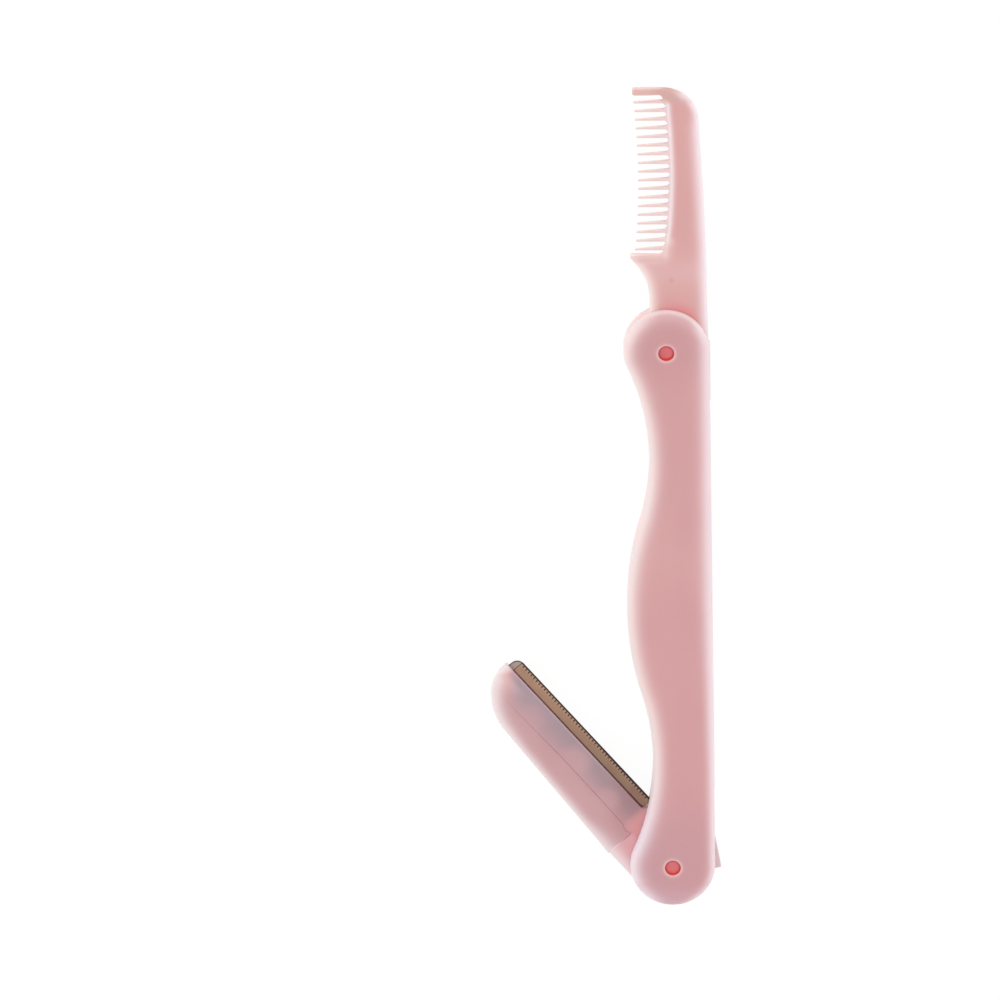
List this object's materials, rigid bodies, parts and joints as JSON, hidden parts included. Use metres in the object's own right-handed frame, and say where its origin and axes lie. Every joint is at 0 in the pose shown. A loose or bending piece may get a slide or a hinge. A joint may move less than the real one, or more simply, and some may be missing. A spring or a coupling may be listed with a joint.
{
  "type": "eyebrow razor",
  "caption": "Slim wavy handle with a guarded brow razor turning on a pin at one end and a fine comb at the other; both fold into the slot between the handle's shells.",
  "frame": {"origin": "On the rear shell's outer face, midway between the comb's pin and the razor's pin.", "axes": "+X from the wavy side towards the straight spine, +Y along the handle from the razor's pin to the comb's pin, +Z from the rear shell's face out through the front shell."},
  "size_m": [0.0344, 0.13, 0.0053],
  "materials": {
    "shell_pink": "satin, translucent",
    "comb_pink": "satin, translucent",
    "arm_pink": "satin, translucent",
    "pin_pink": "satin",
    "blade_steel": "ground",
    "guard_foil": "bronze-toned, satin"
  },
  "bodies": {
    "handle": {"rear_shell": "shell_pink", "front_shell": "shell_pink", "comb_pivot_pin": "pin_pink", "razor_pivot_pin": "pin_pink"},
    "comb": {"comb": "comb_pink"},
    "razor": {"razor_arm": "arm_pink", "blade_back_cap": "arm_pink", "blade": "blade_steel", "blade_guard": "guard_foil"}
  },
  "joints": [
    {"name": "comb_hinge", "type": "hinge", "parent": "handle", "child": "comb", "pos_m": [0, 0.04125, 0.00263], "axis": [0, 0, 1], "range_deg": [0, 180]},
    {"name": "razor_hinge", "type": "hinge", "parent": "handle", "child": "razor", "pos_m": [0, -0.04125, 0.00263], "axis": [0, 0, 1], "range_deg": [-36, 144]}
  ]
}
